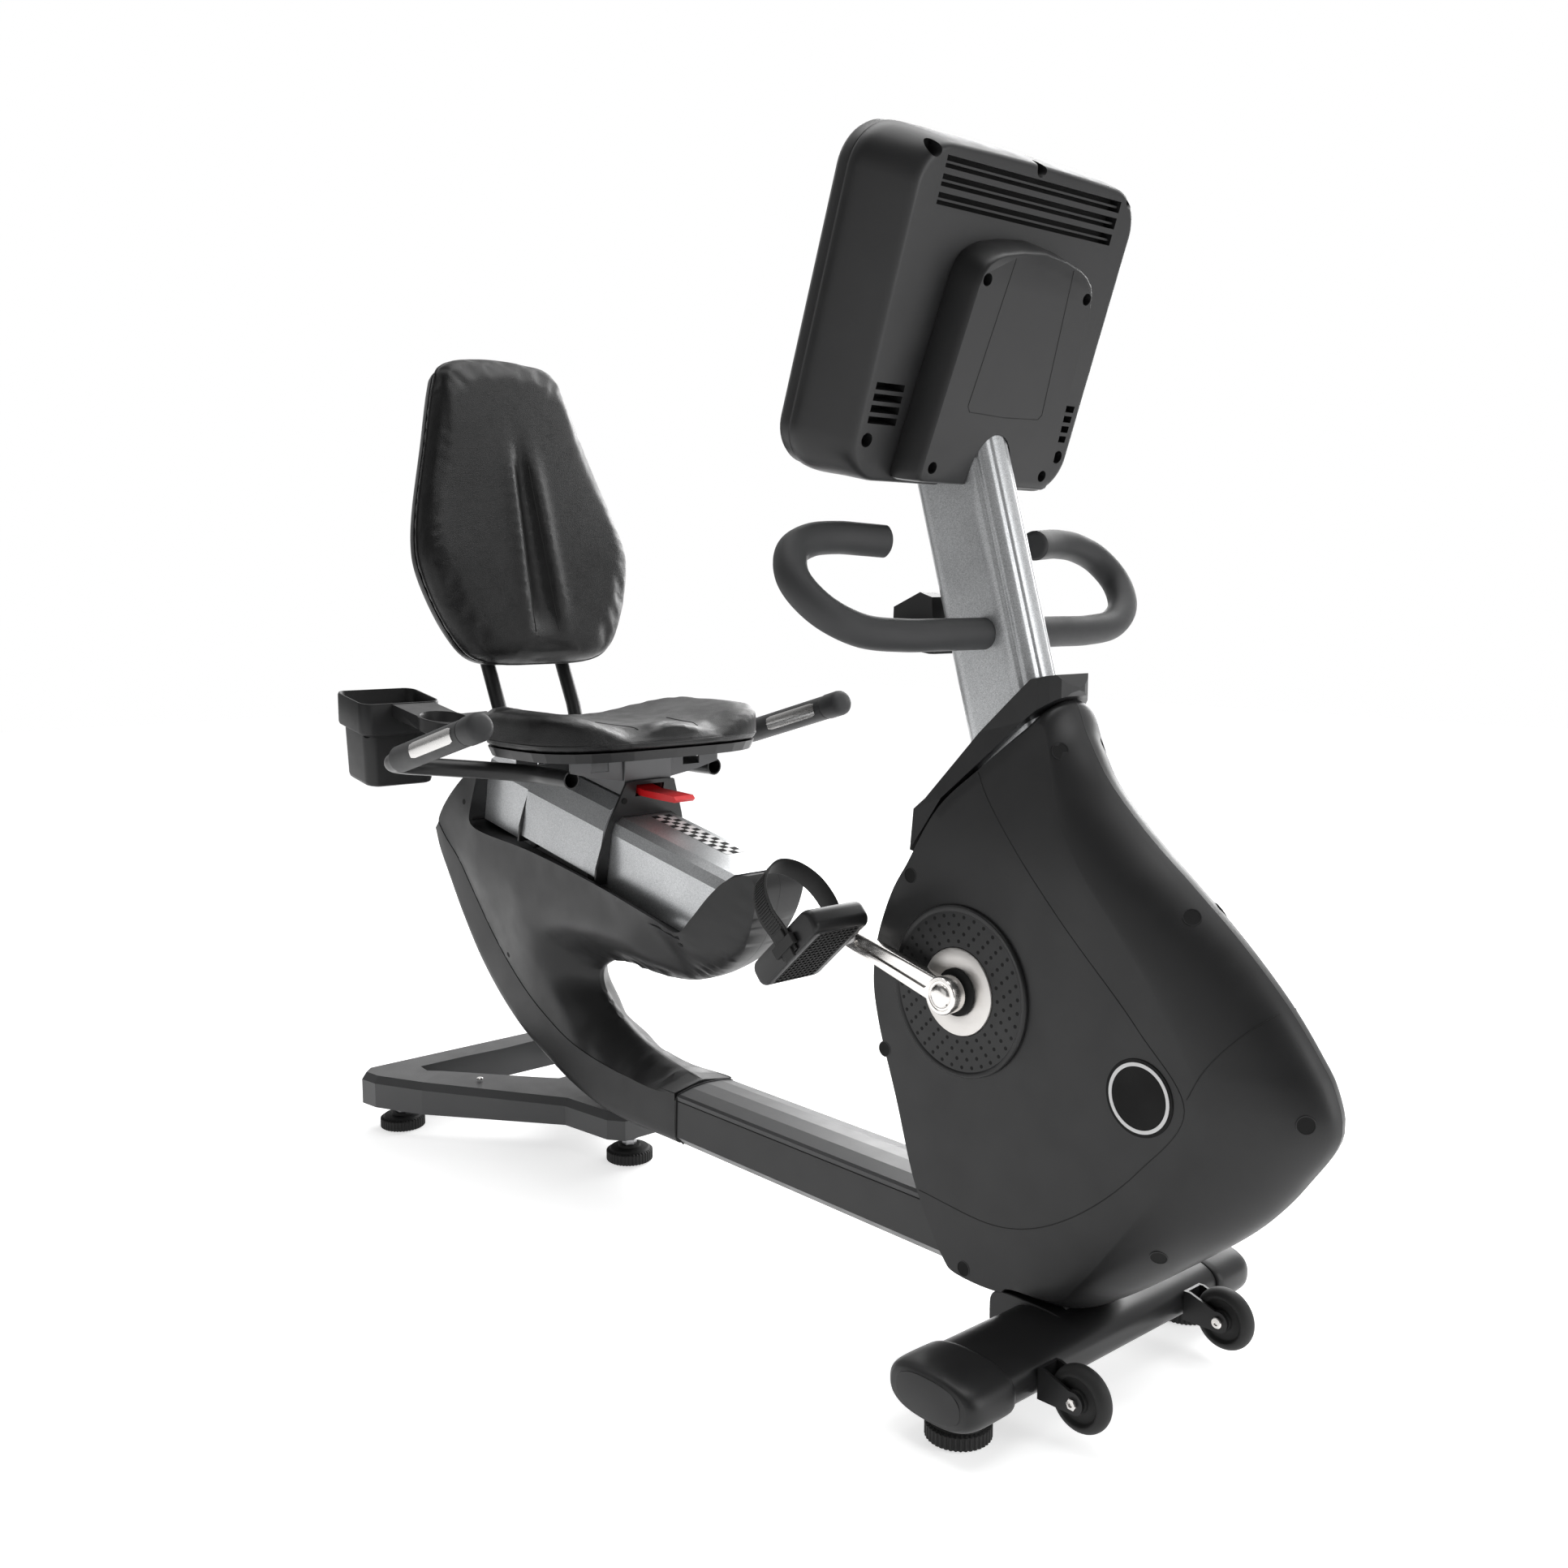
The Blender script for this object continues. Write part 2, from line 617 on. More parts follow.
def handles():
    points, start, way = handle_path()
    long = 0.247
    bore = TUBE_RADIUS + GAP * 2
    profile = [(0, long), (0.010, long - 0.001), (GRIP_RADIUS - 0.003, long - 0.005),
               (GRIP_RADIUS + 0.001, long - 0.012), (GRIP_RADIUS + 0.001, long - 0.040),
               (GRIP_RADIUS, long - 0.042), (GRIP_RADIUS, 0.004), (GRIP_RADIUS - 0.002, 0),
               (bore, 0), (bore, 0.152), (0, 0.152)]
    pair("grip", lathe(profile, start, way, 16), "foam_rubber")


def seat_outline(grow=0.0, count=32):
    """A wide seat's outline: a superellipse, a little fuller at the back."""
    out = []
    for i in range(count):
        angle = 2 * math.pi * i / count
        c, s = math.cos(angle), math.sin(angle)
        power = 2 / 3.4
        x = math.copysign(abs(c) ** power, c) * (SEAT_LONG / 2 + grow)
        y = math.copysign(abs(s) ** power, s) * (SEAT_HALF + grow)
        out.append((x, y))
    return out


def seat_top(x, y):
    """Height of the cushion's top over the pan's underside."""
    across = min(1.0, abs(y) / SEAT_HALF)
    ahead = x / (SEAT_LONG / 2)
    rise = 0.040 + 0.040 * across ** 2 - 0.010 * across ** 8
    rise += 0.016 * math.exp(-(y / 0.045) ** 2) * max(0.0, ahead) ** 2
    return rise + 0.012 * max(0.0, -ahead) ** 3


def crowned(rings, tip):
    """Rings closed with a cap at the start and a point at the end."""
    points, faces = loft(rings)
    faces = faces[:-1]
    last = (len(rings) - 1) * len(rings[0])
    points.append(tip)
    faces += [(last + i, last + (i + 1) % len(rings[0]), len(points) - 1)
              for i in range(len(rings[0]))]
    return points, faces


def seat():
    outline = seat_outline(-0.006)
    bottom = [(SEAT_MID_X + x * 0.97, y * 0.97, PAN_Z) for x, y in outline]
    top = [(SEAT_MID_X + x, y, PAN_Z + PAN_THICK) for x, y in outline]
    make("seat_pan", loft([bottom, top]), "charcoal_plastic")
    low = PAN_Z + PAN_THICK + GAP
    full = seat_outline()
    rings = [[(x * 0.975, y * 0.985, low) for x, y in full],
             [(x, y, low + 0.012) for x, y in full]]
    for scale, drop in ((0.985, 0.010), (0.94, 0.002), (0.80, 0), (0.55, 0), (0.28, 0)):
        rings.append([(x * scale, y * scale, PAN_Z + seat_top(x * scale, y * scale) - drop)
                      for x, y in full])
    rings = [[(SEAT_MID_X + x, y, z) for x, y, z in ring] for ring in rings]
    make("seat_cushion", crowned(rings, (SEAT_MID_X, 0, PAN_Z + seat_top(0, 0))), "vinyl")


def on_back(y, up, off):
    """A point on the backrest: across, up along it, and forward of its middle."""
    return (rear(-0.0099) - up * math.sin(BACK_TILT) + off * math.cos(BACK_TILT), y,
            0.790 + up * math.cos(BACK_TILT) + off * math.sin(BACK_TILT))


def back_outline():
    half = [(0, 0), (0.100, 0.002), (0.132, 0.016), (0.160, 0.055), (0.184, 0.115), (0.195, 0.165),
            (0.194, 0.200), (0.184, 0.250), (0.150, 0.362), (0.119, 0.465), (0.110, 0.485),
            (0.090, 0.498), (0.050, 0.505), (0, 0.507)]
    half = [(y * BACK_HALF / 0.195, up * BACK_TALL / 0.507) for y, up in half]
    return half + [(-y, up) for y, up in reversed(half[1:-1])]


def backrest():
    mid = 0.24
    full = back_outline()

    def ring(scale, off):
        return [on_back(y * scale, mid + (up - mid) * scale, off) for y, up in full]

    make("backrest_shell", loft([ring(0.90, -0.050), ring(0.975, -0.044), ring(0.985, -0.0283)]),
         "charcoal_plastic")
    rings = [ring(0.985, -0.028), ring(1.0, -0.018), ring(1.0, 0.002), ring(0.975, 0.014),
             ring(0.92, 0.019), ring(0.60, 0.014), ring(0.30, 0.010)]
    make("backrest_cushion", crowned(rings, on_back(0, mid, 0.009)), "vinyl")
    off = -0.050 - GAP - POST_RADIUS
    under = PAN_Z - POST_RADIUS
    low = [(rear(0.0640), POST_Y, under), (rear(0.020), POST_Y, under),
           (rear(-0.010), POST_Y, under + 0.012), (rear(-0.028), POST_Y, under + 0.040),
           (rear(-0.039), POST_Y, under + 0.070)]
    path = smooth_path(low, 2) + [Vector(on_back(POST_Y, up, off)) for up in (0.02, 0.26)]
    post = tube(path, [(a, b * 0.92) for a, b in circle(POST_RADIUS, 12)])
    body = make("backrest_frame", post)
    bar = [on_back(y, up, off + d) for y, up, d in (
        (-POST_Y, 0.06, -0.003), (POST_Y, 0.06, -0.003), (POST_Y, 0.11, -0.003), (-POST_Y, 0.11, -0.003),
        (-POST_Y, 0.06, 0.003), (POST_Y, 0.06, 0.003), (POST_Y, 0.11, 0.003), (-POST_Y, 0.11, 0.003))]
    join(body, [make("post", mirror(post)), make("bar", (bar, BOX))], "black_paint")


def cup_holder():
    """A bin and a bottle ring moulded in one, on an arm from the backrest post."""
    def level(x, y, z):
        return (rear(x), y, z - (x + 0.075) * math.tan(math.radians(10)))

    bin_x, bin_y, ring_x, ring_y, rim = -0.164, -0.205, -0.018, -0.185, 0.718
    layers = ((0.0425, 0.058, -0.136), (0.0445, 0.062, -0.052), (0.050, 0.070, -0.048),
              (0.050, 0.070, 0))
    body = make("cup_holder", loft([[level(bin_x + a, bin_y + b, rim + z)
                                     for a, b in rounded(u, v, 0.018, 3)] for u, v, z in layers]))
    ring = [level(ring_x + a, ring_y + b, 0) for a, b in circle(0.041, 24)]
    outer = loft([[(x, y, z + rim - 0.022) for x, y, z in ring], [(x, y, z + rim) for x, y, z in ring]])
    neck = [level(x, y, rim + z) for z in (-0.022, -0.001) for x, y in
            ((-0.125, -0.225), (-0.028, -0.222), (-0.028, -0.148), (-0.125, -0.150))]
    arm = [level(x, y, rim + z) for z in (-0.018, -0.006) for x, y in
           ((-0.050, -0.160), (-0.020, -0.152), (-0.0285, -POST_Y - POST_RADIUS - GAP),
            (-0.0585, -POST_Y - POST_RADIUS - GAP))]
    join(body, [make("ring", outer), make("neck", (neck, BOX)), make("arm", (arm, BOX))],
         "charcoal_plastic")
    inner = [[level(bin_x + a, bin_y + b, rim + z) for a, b in rounded(u, v, 0.016, 3)]
             for u, v, z in ((0.0395, 0.055, -0.132), (0.0455, 0.065, 0.01))]
    bore = [[level(ring_x + a, ring_y + b, rim + z) for a, b in circle(0.036, 24)]
            for z in (-0.05, 0.03)]
    cut(body, [make("hollow", loft(inner)), make("bore", loft(bore))], "charcoal_plastic")


# ---------------------------------------------------------------- housing and drive

HOUSING = (
    (-0.009, 0.083, 0.02), (-0.020, 0.0915, 0.02), (-0.069, 0.1705, 0.02), (-0.108, 0.280, 0.03),
    (-0.139, 0.369, 0.03), (-0.149, 0.419, 0.03), (-0.147, 0.457, 0.03), (-0.139, 0.493, 0.03),
    (-0.116, 0.548, 0.03), (-0.092, 0.584, 0.03), (-0.044, 0.660, 0.03), (0.0125, 0.7085, 0.03),
    (0.0715, 0.759, 0.05), (0.106, 0.784, 0.07), (0.128, 0.746, 0.11), (0.158, 0.699, 0.16),
    (0.212, 0.644, 0.20), (0.270, 0.596, 0.23), (0.330, 0.545, 0.26), (0.390, 0.485, 0.29),
    (0.425, 0.440, 0.30), (0.442, 0.413, 0.30), (0.4517, 0.369, 0.30), (0.418, 0.308, 0.28),
    (0.373, 0.251, 0.25), (0.285, 0.175, 0.18), (0.200, 0.110, 0.10), (0.161, 0.0895, 0.06),
    (0.078, 0.0895, 0.02), (0.070, 0.083, 0.02),
)


def narrow(z):
    """How the housing and its collar grow narrower towards the mast."""
    share = min(1.0, max(0.0, (z - 0.58) / 0.20))
    return 1 - 0.25 * share * share * (3 - 2 * share)


def housing_ring(y, share, grow=0.0, draw=0.0):
    """The outline drawn in by a share of each point's own taper, and all round by draw."""
    outline = []
    for x, z, taper in HOUSING:
        pull = 1 - (1 - taper * share) * (1 - draw)
        outline.append((x + (0.03 - x) * pull, z + (0.40 - z) * pull))
    if grow:
        outline = inset(outline[::-1], -grow)[::-1]
    return [(front(x), y * narrow(z), z) for x, z in outline]


def mast_x(z):
    """The mast's middle at a height."""
    return front(MAST_DX) - MAST_LEAN * (z - MAST_REF_Z)


def mast_ring(z, grow=0.0, steps=6):
    """The mast's level section at a height."""
    mid = mast_x(z)
    radius = MAST_WIDE / 2 + grow
    straight = MAST_LONG / 2 - MAST_WIDE / 2
    out = []
    for side in (1, -1):
        for i in range(steps + 1):
            angle = -math.pi / 2 + math.pi * i / steps
            out.append((mid + side * (straight + radius * math.cos(angle)),
                        side * radius * math.sin(angle), z))
    return out


def housing():
    half = HOUSING_HALF
    skin = [housing_ring(-half * wide, share) for wide, share in
            ((0, 0), (0.355, 0.10), (0.645, 0.36), (0.839, 0.66), (1.0, 1.0))]
    skin[0] = [(x, -GAP / 2, z) for x, y, z in skin[0]]
    skin += [housing_ring(-half, 1.0, 0, draw) for draw in (0.2, 0.45)]
    body = make("housing_right", loft(skin))
    room = [housing_ring(-y, share, -WALL) for y, share in
            ((-0.01, 0), (0.355 * half, 0.12), (0.645 * half, 0.42), (half - WALL, 1.0))]
    room += [housing_ring(WALL - half, 1.0, -WALL, draw) for draw in (0.2, 0.45)]
    low, high = BEAM_BOTTOM - 0.0005, BEAM_CROWN + 0.0007
    beam = [(front(x), z) for x, z in ((-0.3, low), (0.152, low), (0.152, high), (-0.3, high))]
    stem = [mast_ring(z, 0.0008) for z in (0.58, 0.90)]
    hole = [(CRANK_X + a, CRANK_Z + b) for a, b in circle(0.042, 24)]
    tools = [make("room", loft(room)), make("stem", loft(stem)),
             make("beam", prism_y(beam, -BEAM_HALF - 0.0005, 0.01)),
             make("hole", prism_y(hole, -0.08, -0.02))]
    cut(body, tools, "charcoal_plastic")
    twin(body, "housing_left")


def twin(body, name):
    """The mirror image of a finished piece, on the other side of the centre plane."""
    points = [body.matrix_world @ point.co for point in body.data.vertices]
    points = [(p.x, -p.y, p.z) for p in points]
    body.data.calc_loop_triangles()
    faces = [tuple(face.vertices)[::-1] for face in body.data.loop_triangles]
    slot = body.data.materials[0].name
    return make(name, (points, faces), slot)


def housing_collar():
    """The collar that closes the top of the housing round the mast."""
    edge = [(-0.0905, 0.592), (-0.088, 0.643), (-0.070, 0.658), (0.008, 0.7435), (0.053, 0.784),
            (0.082, 0.809), (0.106, 0.813), (0.117, 0.797), (0.112, 0.7885)]
    seam = [(x, z) for x, z, t in HOUSING if -0.08 < x < 0.11 and z > 0.6]
    lift = [(x - 0.0004, z + 0.0008) for x, z in reversed(seam)]
    outline = [(front(x), z) for x, z in edge + lift]
    middle = [sum(v) / len(outline) for v in zip(*outline)]
    rings = []
    reach = HOUSING_HALF - 0.004
    for y, share in ((-reach, 0.02), (0.008 - reach, 0), (reach - 0.008, 0), (reach, 0.02)):
        rings.append([(x + (middle[0] - x) * share, y * narrow(z), z + (middle[1] - z) * share)
                      for x, z in outline])
    body = make("housing_collar", loft(rings))
    boolean(body, [make("plan", collar_plan())], "INTERSECT", "charcoal_plastic")
    stem = loft([mast_ring(z, 0.0008) for z in (0.50, 0.90)])
    cut(body, [make("stem", stem)], "charcoal_plastic")


def collar_plan():
    """The collar seen from above: straight sides and a round front."""
    half = [(-0.2, HOUSING_HALF), (0.030, HOUSING_HALF)]
    for i in range(1, 9):
        angle = math.pi / 2 * i / 8
        half.append((0.030 + 0.086 * math.sin(angle), HOUSING_HALF * math.cos(angle)))
    outline = [(front(x), y) for x, y in half] + [(front(x), -y) for x, y in reversed(half[:-1])]
    return prism_z(outline[::-1], 0.5, 0.9)


def hub_covers():
    y = HOUSING_HALF + GAP
    profile = [(HUB_PLATE + 0.001, 0), (HUB_RADIUS, 0), (HUB_RADIUS, 0.0035),
               (HUB_RADIUS - 0.003, 0.0050), (HUB_RADIUS - 0.007, 0.0050),
               (HUB_RADIUS - 0.008, 0.0038), (HUB_PLATE + 0.001, 0.0038)]
    pair("hub_cover", lathe(profile, (CRANK_X, y, CRANK_Z), (0, 1, 0), 32), "charcoal_plastic")
    profile = [(HUB_HOLE, 0), (HUB_PLATE, 0), (HUB_PLATE, 0.0050), (HUB_PLATE - 0.002, 0.0062),
               (HUB_HOLE, 0.0062)]
    pair("hub_plate", lathe(profile, (CRANK_X, y, CRANK_Z), (0, 1, 0), 28), "chrome")


def arm_way(side):
    """The direction of a crank arm: the right arm points back and up."""
    return Vector((side * math.cos(CRANK_ANGLE), 0, -side * math.sin(CRANK_ANGLE)))


def crank():
    spot = (CRANK_X, 0, CRANK_Z)
    reach = ARM_IN - GAP
    profile = [(0, -reach), (SPINDLE_RADIUS, -reach), (SPINDLE_RADIUS, BELT_Y - 0.009),
               (SPINDLE_RADIUS + 0.0055, BELT_Y - 0.009), (SPINDLE_RADIUS + 0.0055, BELT_Y - 0.0063),
               (SPINDLE_RADIUS, BELT_Y - 0.0063),
               (SPINDLE_RADIUS, reach), (0, reach)]
    made = make("crank_spindle", lathe(profile, spot, (0, 1, 0), 20), "steel")
    move_origin(made, spot)
    for name, side in (("crank_arm_left", 1), ("crank_arm_right", -1)):
        way = arm_way(side)
        up = Vector((-way.z, 0, way.x))
        outline = []
        for i in range(9):
            angle = math.pi / 2 + math.pi * i / 8
            outline.append((0.0165 * math.cos(angle), 0.0165 * math.sin(angle)))
        for i in range(9):
            angle = -math.pi / 2 + math.pi * i / 8
            outline.append((CRANK_LONG + 0.0125 * math.cos(angle), 0.0125 * math.sin(angle)))
        rings = [[tuple(Vector(spot) + way * a + up * b + Vector((0, side * y, 0)))
                  for a, b in outline] for y in (ARM_IN, ARM_OUT)]
        body = make(name, loft(rings), None, spot)
        boss = [(0, ARM_IN), (0.0225, ARM_IN), (0.0225, ARM_OUT + 0.004), (0.018, ARM_OUT + 0.007),
                (0.010, ARM_OUT + 0.0085), (0, ARM_OUT + 0.009)]
        pin = [(0, ARM_OUT - 0.004), (PIN_RADIUS, ARM_OUT - 0.004),
               (PIN_RADIUS, PEDAL_Y + PEDAL_HALF - 0.018), (0, PEDAL_Y + PEDAL_HALF - 0.018)]
        hub = make("boss", lathe(boss, spot, (0, side, 0), 24))
        end = Vector(spot) + way * CRANK_LONG
        join(body, [hub, make("pin", lathe(pin, end, (0, side, 0), 12))], "chrome")


def pedals():
    for tag, side in (("left", 1), ("right", -1)):
        end = Vector((CRANK_X, 0, CRANK_Z)) + arm_way(side) * CRANK_LONG
        along = Vector((math.cos(PEDAL_PITCH), 0, math.sin(PEDAL_PITCH)))
        up = Vector((-along.z, 0, along.x))

        def place(a, y, h):
            return tuple(end + along * a + up * h + Vector((0, side * y, 0)))

        outline = rounded(PEDAL_LONG / 2, PEDAL_THICK / 2, 0.012, 3)
        layers = ((PEDAL_Y - PEDAL_HALF, 0.96), (PEDAL_Y - PEDAL_HALF + 0.004, 1),
                  (PEDAL_Y + PEDAL_HALF - 0.004, 1), (PEDAL_Y + PEDAL_HALF, 0.96))
        body = make("pedal_" + tag, loft([[place(a * k, y, h * k) for a, h in outline]
                                          for y, k in layers]), None, end)
        bore = [[place(a, y, h) for a, h in circle(PIN_RADIUS + 0.0006, 12)]
                for y in (0.08, PEDAL_Y + PEDAL_HALF - 0.016)]
        cut(body, [make("bore", loft(bore))], "charcoal_plastic")
        strap(tag, place, end)


def strap(tag, place, end):
    """The strap: a band looped over the foot bed from one side of the pedal to the other."""
    inner, outer = PEDAL_Y - PEDAL_HALF - 0.001, PEDAL_Y + PEDAL_HALF + 0.001
    loop = [(outer, -0.014), (outer, 0.016), (outer + 0.004, 0.045), (outer - 0.004, 0.075),
            (outer - 0.024, 0.098), (PEDAL_Y, 0.106), (inner + 0.022, 0.098), (inner + 0.003, 0.075),
            (inner - 0.003, 0.045), (inner, 0.022), (inner, PIN_RADIUS + 0.003)]
    path = [Vector((p.x, p.y)) for p in smooth_path([(a, b, 0) for a, b in loop], 2)]
    outside, inside = [], []
    for k, spot in enumerate(path):
        way = (path[min(k + 1, len(path) - 1)] - path[max(k - 1, 0)]).normalized()
        normal = Vector((way.y, -way.x))
        outside.append(spot + normal * 0.0028)
        inside.append(spot + normal * 0.0004)
    band = outside + inside[::-1]
    rings = [[place(a + 0.010, p.x, p.y) for p in band] for a in (-0.016, 0.016)]
    make("pedal_strap_" + tag, loft(rings), "rubber", end)


def drive():
    spot = Vector((CRANK_X, 0, CRANK_Z))
    fly = Vector((front(FLY_DX), 0, FLY_Z))
    seat_r = SPINDLE_RADIUS + BEARING_WALL
    side = [(0.110, BEAM_CROWN + 0.0005), (-0.005, BEAM_CROWN + 0.0005), (-0.028, 0.3), (-0.040, 0.42),
            (-0.030, 0.50), (0.000, 0.600), (0.115, 0.600), (0.110, 0.47), (0.200, 0.36),
            (0.235, 0.345), (0.235, 0.315), (0.190, 0.300), (0.130, 0.31)]
    body = make("drive_frame", prism_y([(front(x), z) for x, z in side], -0.006, 0.006))
    shell = lathe([(0, -0.046), (seat_r + 0.006, -0.046), (seat_r + 0.006, 0.0062), (0, 0.0062)],
                  spot, (0, 1, 0), 24)
    top = prism_z([(front(x), y) for x, y in ((-0.002, -0.033), (0.117, -0.033), (0.117, 0.033),
                                              (-0.002, 0.033))], 0.592, 0.6047)
    join(body, [make("shell", shell), make("top", top)], "black_paint")
    bores = [lathe([(0, -0.06), (seat_r + GAP, -0.06), (seat_r + GAP, 0.06), (0, 0.06)], spot,
                   (0, 1, 0), 24),
             lathe([(0, -0.03), (0.0095, -0.03), (0.0095, 0.03), (0, 0.03)], fly, (0, 1, 0), 16)]
    cut(body, [make("bore", shape) for shape in bores], "black_paint")
    inner = SPINDLE_RADIUS + SPINDLE_FIT
    ring = [(inner, -0.0455), (seat_r, -0.0455), (seat_r, 0.0058), (inner, 0.0058)]
    make("crank_bearing", lathe(ring, spot, (0, 1, 0), 24), "steel")
    hub = SPINDLE_RADIUS + GAP
    wheel = [(hub, BELT_Y - 0.006), (PULLEY_RADIUS, BELT_Y - 0.006), (PULLEY_RADIUS, BELT_Y + 0.006),
             (PULLEY_RADIUS - 0.006, BELT_Y + 0.006), (PULLEY_RADIUS - 0.008, BELT_Y + 0.001),
             (0.030, BELT_Y + 0.001), (0.026, BELT_Y + 0.008), (hub, BELT_Y + 0.008)]
    move_origin(make("drive_pulley", lathe(wheel, spot, (0, 1, 0), 32), "charcoal_plastic"), spot)
    disc = [(0, -0.037), (0.009, -0.037), (0.009, -0.034), (FLY_RADIUS - 0.001, -0.034),
            (FLY_RADIUS, -0.033), (FLY_RADIUS, -0.011), (FLY_RADIUS - 0.001, -0.010), (0.016, -0.010),
            (0.016, -0.0075), (0.0088, -0.0075), (0.0088, 0.0080), (DRIVEN_RADIUS, 0.0080),
            (DRIVEN_RADIUS, BELT_Y + 0.006), (0, BELT_Y + 0.006)]
    move_origin(make("flywheel", lathe(disc, fly, (0, 1, 0), 24), "cast_iron"), fly)
    belt(spot, fly)


def belt_lines():
    """Centres, radii and the angle of the belt's open run between the two pulleys."""
    a, b = Vector((CRANK_X, CRANK_Z)), Vector((front(FLY_DX), FLY_Z))
    ra, rb = PULLEY_RADIUS + 0.0006, DRIVEN_RADIUS + 0.0006
    way = b - a
    heading = math.atan2(way.y, way.x)
    spread = math.acos((ra - rb) / way.length)
    return a, b, ra, rb, heading, spread


def belt(spot, fly):
    a, b, ra, rb, heading, spread = belt_lines()
    loop = []
    for centre, radius, low, high, count in (
            (a, ra, heading + spread, heading + 2 * math.pi - spread, 28),
            (b, rb, heading - spread, heading + spread, 10)):
        for i in range(count + 1):
            angle = low + (high - low) * i / count
            loop.append((centre, radius, angle))
    def at(extra, y):
        return [(c.x + (r + extra) * math.cos(t), y, c.y + (r + extra) * math.sin(t))
                for c, r, t in loop]
    low, high = BELT_Y - BELT_HALF, BELT_Y + BELT_HALF
    quad = [at(0, low), at(BELT_THICK, low), at(BELT_THICK, high), at(0, high)]
    make("drive_belt", loft(quad, closed=True), "rubber")


# ---------------------------------------------------------------- stabiliser, wheels

def bar_z():
    return BEAM_BOTTOM - GAP - BAR_TALL / 2


def oval(half_a, half_b, count=24, power=2.6):
    out = []
    for i in range(count):
        c, s = math.cos(2 * math.pi * i / count), math.sin(2 * math.pi * i / count)
        out.append((math.copysign(abs(c) ** (2 / power), c) * half_a,
                    math.copysign(abs(s) ** (2 / power), s) * half_b))
    return out


def stabiliser():
    x, z = front(BAR_DX), bar_z()
    rings = [[(x + a, y, z + b) for a, b in oval(BAR_LONG / 2, BAR_TALL / 2)]
             for y in (-BAR_CAP_IN, BAR_CAP_IN)]
    body = make("front_stabiliser", loft(rings))
    bore = [[(x + a, y, z + b) for a, b in oval(BAR_LONG / 2 - 0.003, BAR_TALL / 2 - 0.003)]
            for y in (-0.3, 0.3)]
    cut(body, [make("bore", loft(bore))], "black_paint")
    rings = []
    for y, k in ((BAR_CAP_IN + GAP, 1.0), (BAR_CAP_IN + 0.006, 1.10), (0.240, 1.12), (0.255, 1.07),
                 (BAR_CAP_OUT, 0.94)):
        rings.append([(x + a * k, y, z - 0.001 + b * k) for a, b in oval(BAR_LONG / 2, BAR_TALL / 2)])
    for name, side in (("left", 1), ("right", -1)):
        shape = loft(rings)
        body = make("stabiliser_cap_" + name, shape if side > 0 else mirror(shape))
        spot = foot_spots()["foot_front_" + name]
        cut(body, [stem_bore(spot)], "charcoal_plastic")


def wheels():
    plate = 0.0035
    near = WHEEL_HALF + 0.0015
    x, z = front(WHEEL_DX), WHEEL_Z
    back = front(BAR_DX) + BAR_LONG / 2 + GAP
    for tag, side in (("left", 1), ("right", -1)):
        y = side * WHEEL_Y
        cheek = [(back, z - 0.014), (back, z + 0.022), (back + 0.010, z + 0.022)]
        cheek += [(x + 0.012 * math.cos(t), z + 0.012 * math.sin(t))
                  for t in (1.6, 1.0, 0.4, -0.2, -0.8, -1.4)]
        shapes = [prism_y(cheek, y + s * near, y + s * (near + plate)) for s in (-1, 1)]
        web = [(back, z - 0.014), (back, z + 0.022), (back + 0.004, z + 0.022), (back + 0.004, z - 0.014)]
        web = prism_y(web, y - near - 0.001, y + near + 0.001)
        reach = near + plate + 0.004
        axle = lathe([(0, -reach), (0.0065, -reach), (0.0065, -near - 0.001), (AXLE_RADIUS, -near - 0.001),
                      (AXLE_RADIUS, near + 0.001), (0.0065, near + 0.001), (0.0065, reach), (0, reach)],
                     (x, y, z), (0, 1, 0), 12)
        body = make("wheel_fork_" + tag, web)
        join(body, [make("cheek", s) for s in shapes] + [make("axle", axle)], "black_paint")
        bore = AXLE_RADIUS + RUN
        half = [(bore, WHEEL_HALF), (0.012, WHEEL_HALF), (0.014, 0.006), (WHEEL_RADIUS - 0.013, 0.006),
                (WHEEL_RADIUS - 0.010, WHEEL_HALF), (WHEEL_RADIUS - 0.005, WHEEL_HALF),
                (WHEEL_RADIUS, 0.006)]
        tyre = [(radius, -along) for radius, along in half] + half[::-1]
        made = make("transport_wheel_" + tag, lathe(tyre, (x, y, z), (0, 1, 0), 20), "rubber")
        move_origin(made, (x, y, z))


# ---------------------------------------------------------------- mast, bars, console

def behind_console(grow):
    """The space behind the mast's head, which is trimmed to stay inside the console's back."""
    edge = -CONSOLE_DEEP + 0.008 - grow
    rings = [[on_console(y, up, off) for up, off in
              ((CONSOLE_LOW - 0.0005 - grow, -0.3), (0.3, -0.3), (0.3, edge),
               (CONSOLE_LOW - 0.0005 - grow, edge))] for y in (-0.1, 0.1)]
    return make("trim", loft(rings))


def mast():
    body = make("mast", loft([mast_ring(0.605), mast_ring(MAST_TOP_Z)]))
    inner = make("inside", loft([mast_ring(z, -0.004) for z in (0.5, MAST_TOP_Z + 0.1)]))
    cut(body, [behind_console(0), inner], "silver_paint")


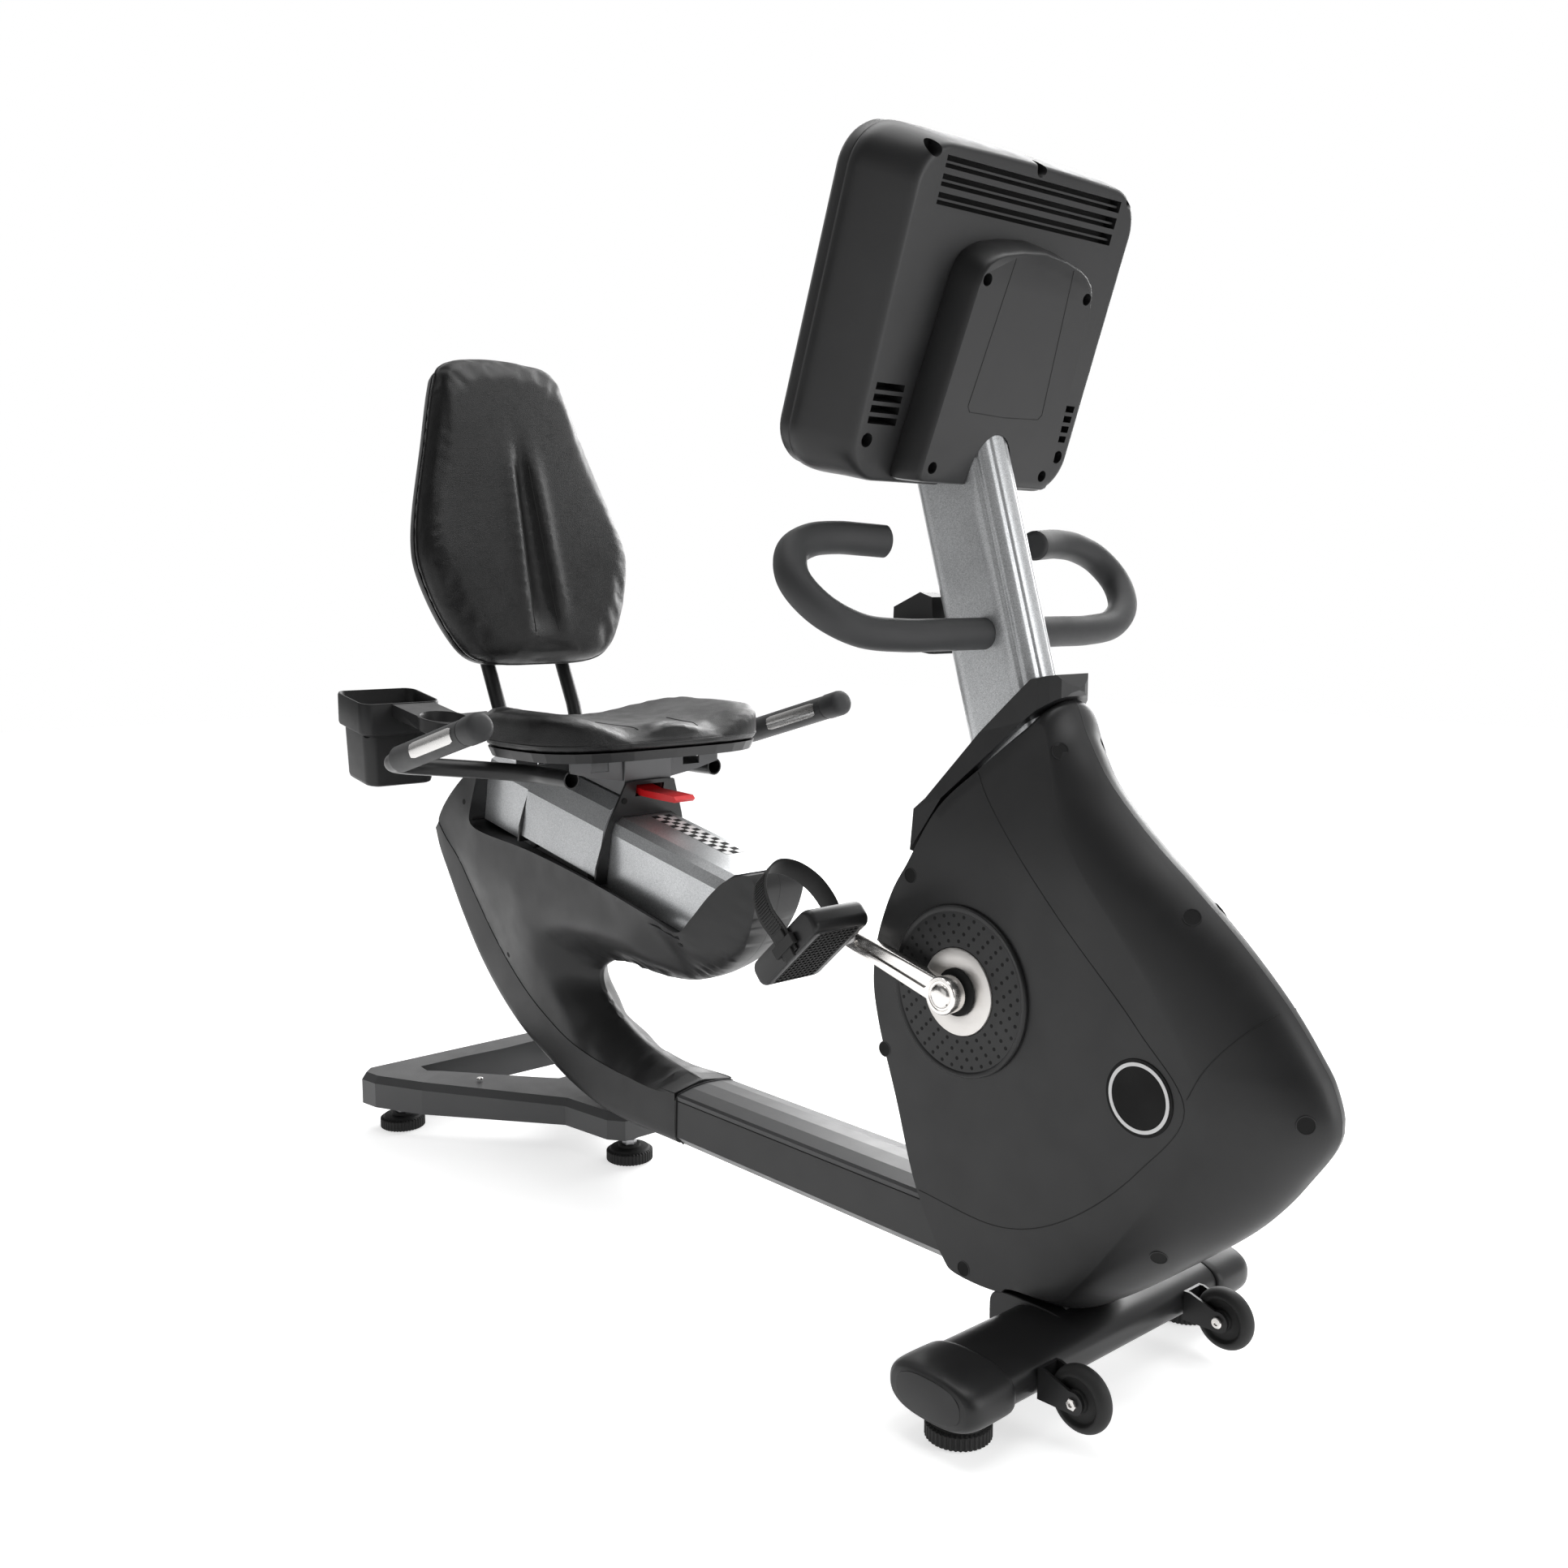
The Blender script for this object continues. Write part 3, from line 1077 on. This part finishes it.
def handlebars():
    lift = MAST_TOP_Z - MAST_USUAL_TOP
    points = [(0.004, MAST_WIDE / 2 + 0.0009, 0.8565), (0.002, 0.100, 0.8565), (-0.001, 0.165, 0.857),
              (-0.008, 0.225, 0.864), (-0.024, 0.268, 0.887), (-0.048, 0.283, 0.918),
              (-0.068, 0.268, 0.946), (-0.076, 0.235, 0.9605), (-0.075, 0.195, 0.9645),
              (-0.068, 0.160, 0.963), (-0.060, 0.130, 0.961)]
    points = [(front(x) - MAST_LEAN * lift, y, z + lift) for x, y, z in points]
    pair("handlebar", tube(smooth_path(points, 2), circle(BAR_GRIP_RADIUS, 14)), "foam_rubber")


def accessory_holder():
    z = 0.868 + MAST_TOP_Z - MAST_USUAL_TOP
    back = min(p[0] for p in mast_ring(z + 0.037)) - 0.0006
    side = [(back - 0.066, z - 0.030), (back - 0.004, z - 0.038), (back + 0.004, z - 0.038),
            (back - 0.0005, z + 0.030), (back - 0.020, z + 0.036), (back - 0.064, z + 0.018)]
    shape = prism_y(side, -0.026, 0.026)
    body = make("accessory_holder", shape)
    slot = [(back - 0.060, z - 0.020), (back - 0.018, z - 0.020), (back - 0.018, z + 0.06),
            (back - 0.060, z + 0.06)]
    cut(body, [make("slot", prism_y(slot, -0.020, 0.020))], "charcoal_plastic")


def on_console(y, up, off):
    """A point on the console: across, up along its back, and out from the back face."""
    c, s = math.cos(CONSOLE_TILT), math.sin(CONSOLE_TILT)
    return (mast_x(MAST_TOP_Z) + CONSOLE_AHEAD + up * s + off * c, y,
            MAST_TOP_Z + CONSOLE_RISE + up * c - off * s)


def console_ring(half, low, high, radius, off, crown=0.010):
    mid = (low + high) / 2
    out = []
    for y, up in rounded(half, (high - low) / 2, radius, 5):
        rise = crown * (1 - (y / half) ** 2) if up > 0 else 0
        out.append(on_console(y, mid + up + rise, off))
    return out


def mast_pocket():
    fit = 0.0006
    pocket = make("pocket", loft([mast_ring(z, fit) for z in (0.90, MAST_TOP_Z + 0.001)]))
    return cut(pocket, [behind_console(fit)], "charcoal_plastic")


def console():
    low, high = CONSOLE_LOW, CONSOLE_LOW + CONSOLE_TALL - 0.010
    half = CONSOLE_HALF
    body = make("console_back", loft([
        console_ring(half, low, high, 0.052, -CONSOLE_DEEP),
        console_ring(half, low, high, 0.052, -CONSOLE_DEEP + 0.014),
        console_ring(half - 0.016, low + 0.004, high - 0.004, 0.050, -0.030),
        console_ring(half - 0.034, low + 0.006, high - 0.010, 0.046, -0.004),
        console_ring(half - 0.039, low + 0.010, high - 0.014, 0.044, 0)]))
    cut(body, [mast_pocket()], "charcoal_plastic")
    frame = make("console_bezel", loft([
        console_ring(half - 0.010, low + 0.008, high - 0.008, 0.046, -CONSOLE_DEEP - 0.024),
        console_ring(half - 0.002, low + 0.001, high - 0.001, 0.051, -CONSOLE_DEEP - 0.016),
        console_ring(half - 0.002, low + 0.001, high - 0.001, 0.051, -CONSOLE_DEEP - GAP)]))
    hollow = [console_ring(0.190, low + 0.035, high - 0.028, 0.020, off, 0.0)
              for off in (-CONSOLE_DEEP - 0.05, -CONSOLE_DEEP - 0.017)]
    cut(frame, [make("hollow", loft(hollow))], "charcoal_plastic")
    glass = [console_ring(0.190 - GAP, low + 0.035 + GAP, high - 0.028 - GAP, 0.020, off, 0.0)
             for off in (-CONSOLE_DEEP - 0.0225, -CONSOLE_DEEP - 0.017 - GAP)]
    make("console_screen", loft(glass), "screen_glass")
    console_cover()


def console_cover():
    """The cover over the mast's head on the console's back."""
    half = [(0, -0.040), (0.118, -0.040), (0.120, -0.020), (0.104, 0.190), (0.096, 0.214),
            (0.070, 0.228), (0, 0.238)]
    outline = [(y, up) for y, up in half] + [(-y, up) for y, up in reversed(half[1:-1])]
    rings = []
    for off, k in ((GAP, 1.0), (0.006, 1.0), (0.034, 0.965), (COVER_PROUD, 0.90)):
        rings.append([on_console(y * k, 0.095 + (up - 0.095) * k, off) for y, up in outline])
    body = make("console_cover", loft(rings))
    cut(body, [mast_pocket()], "charcoal_plastic")


def build():
    for made in list(bpy.data.objects):
        bpy.data.objects.remove(made)
    rear_base()
    feet()
    main_beam()
    rear_spine()
    rear_shrouds()
    seat_rail()
    carriage()
    seat_bracket()
    adjust_lever()
    handles()
    seat()
    backrest()
    cup_holder()
    housing()
    housing_collar()
    hub_covers()
    crank()
    pedals()
    drive()
    stabiliser()
    wheels()
    mast()
    handlebars()
    accessory_holder()
    console()


build()
